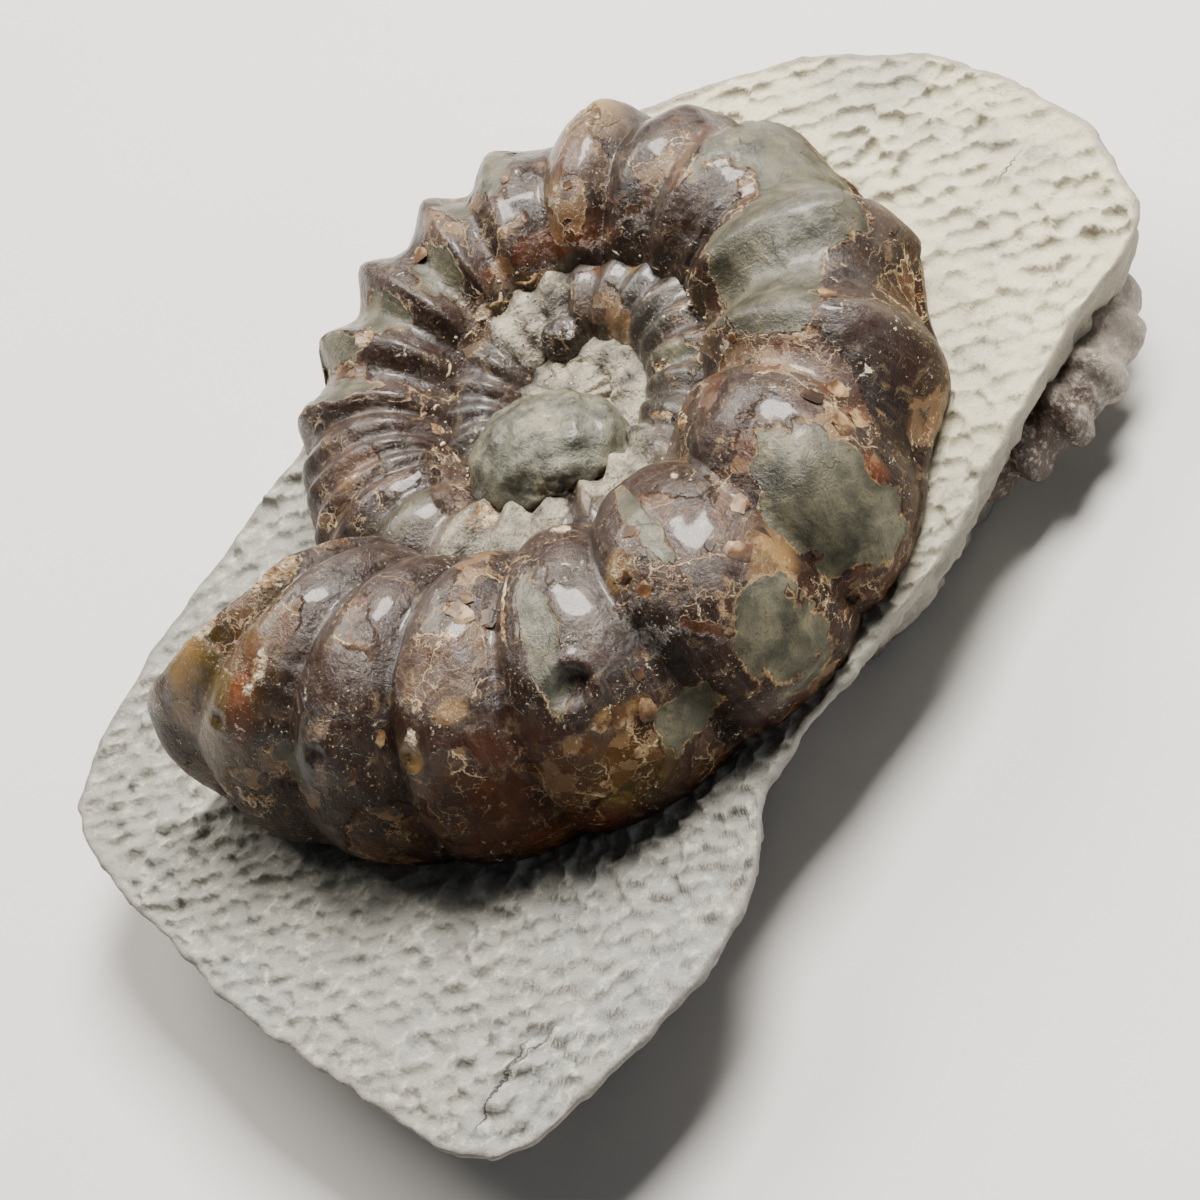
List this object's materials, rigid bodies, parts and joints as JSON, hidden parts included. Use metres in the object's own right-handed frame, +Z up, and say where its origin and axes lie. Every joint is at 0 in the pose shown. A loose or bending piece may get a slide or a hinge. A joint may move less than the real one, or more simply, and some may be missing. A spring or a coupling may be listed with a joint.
{
  "type": "ammonite fossil on matrix stone",
  "caption": "Coiled fossil shell with strong ribs and small spines, half sunk in a flat-topped piece of pale limestone that rests on its flat underside.",
  "frame": {"origin": "middle of the bounding box at the flat underside of the stone", "axes": "+X along the stone's long side, away from the mouth of the coil; +Z up, square to the prepared face that the coil stands out of"},
  "size_m": [0.0966, 0.066, 0.0322],
  "materials": {
    "limestone": "matt",
    "fossil_shell": "glossy",
    "stone_cast": "satin",
    "worn_fossil_shell": "satin"
  },
  "bodies": {
    "root": {"matrix_stone": "limestone", "ammonite": "fossil_shell", "umbilicus_cast": "stone_cast", "second_ammonite": "worn_fossil_shell"}
  },
  "joints": []
}
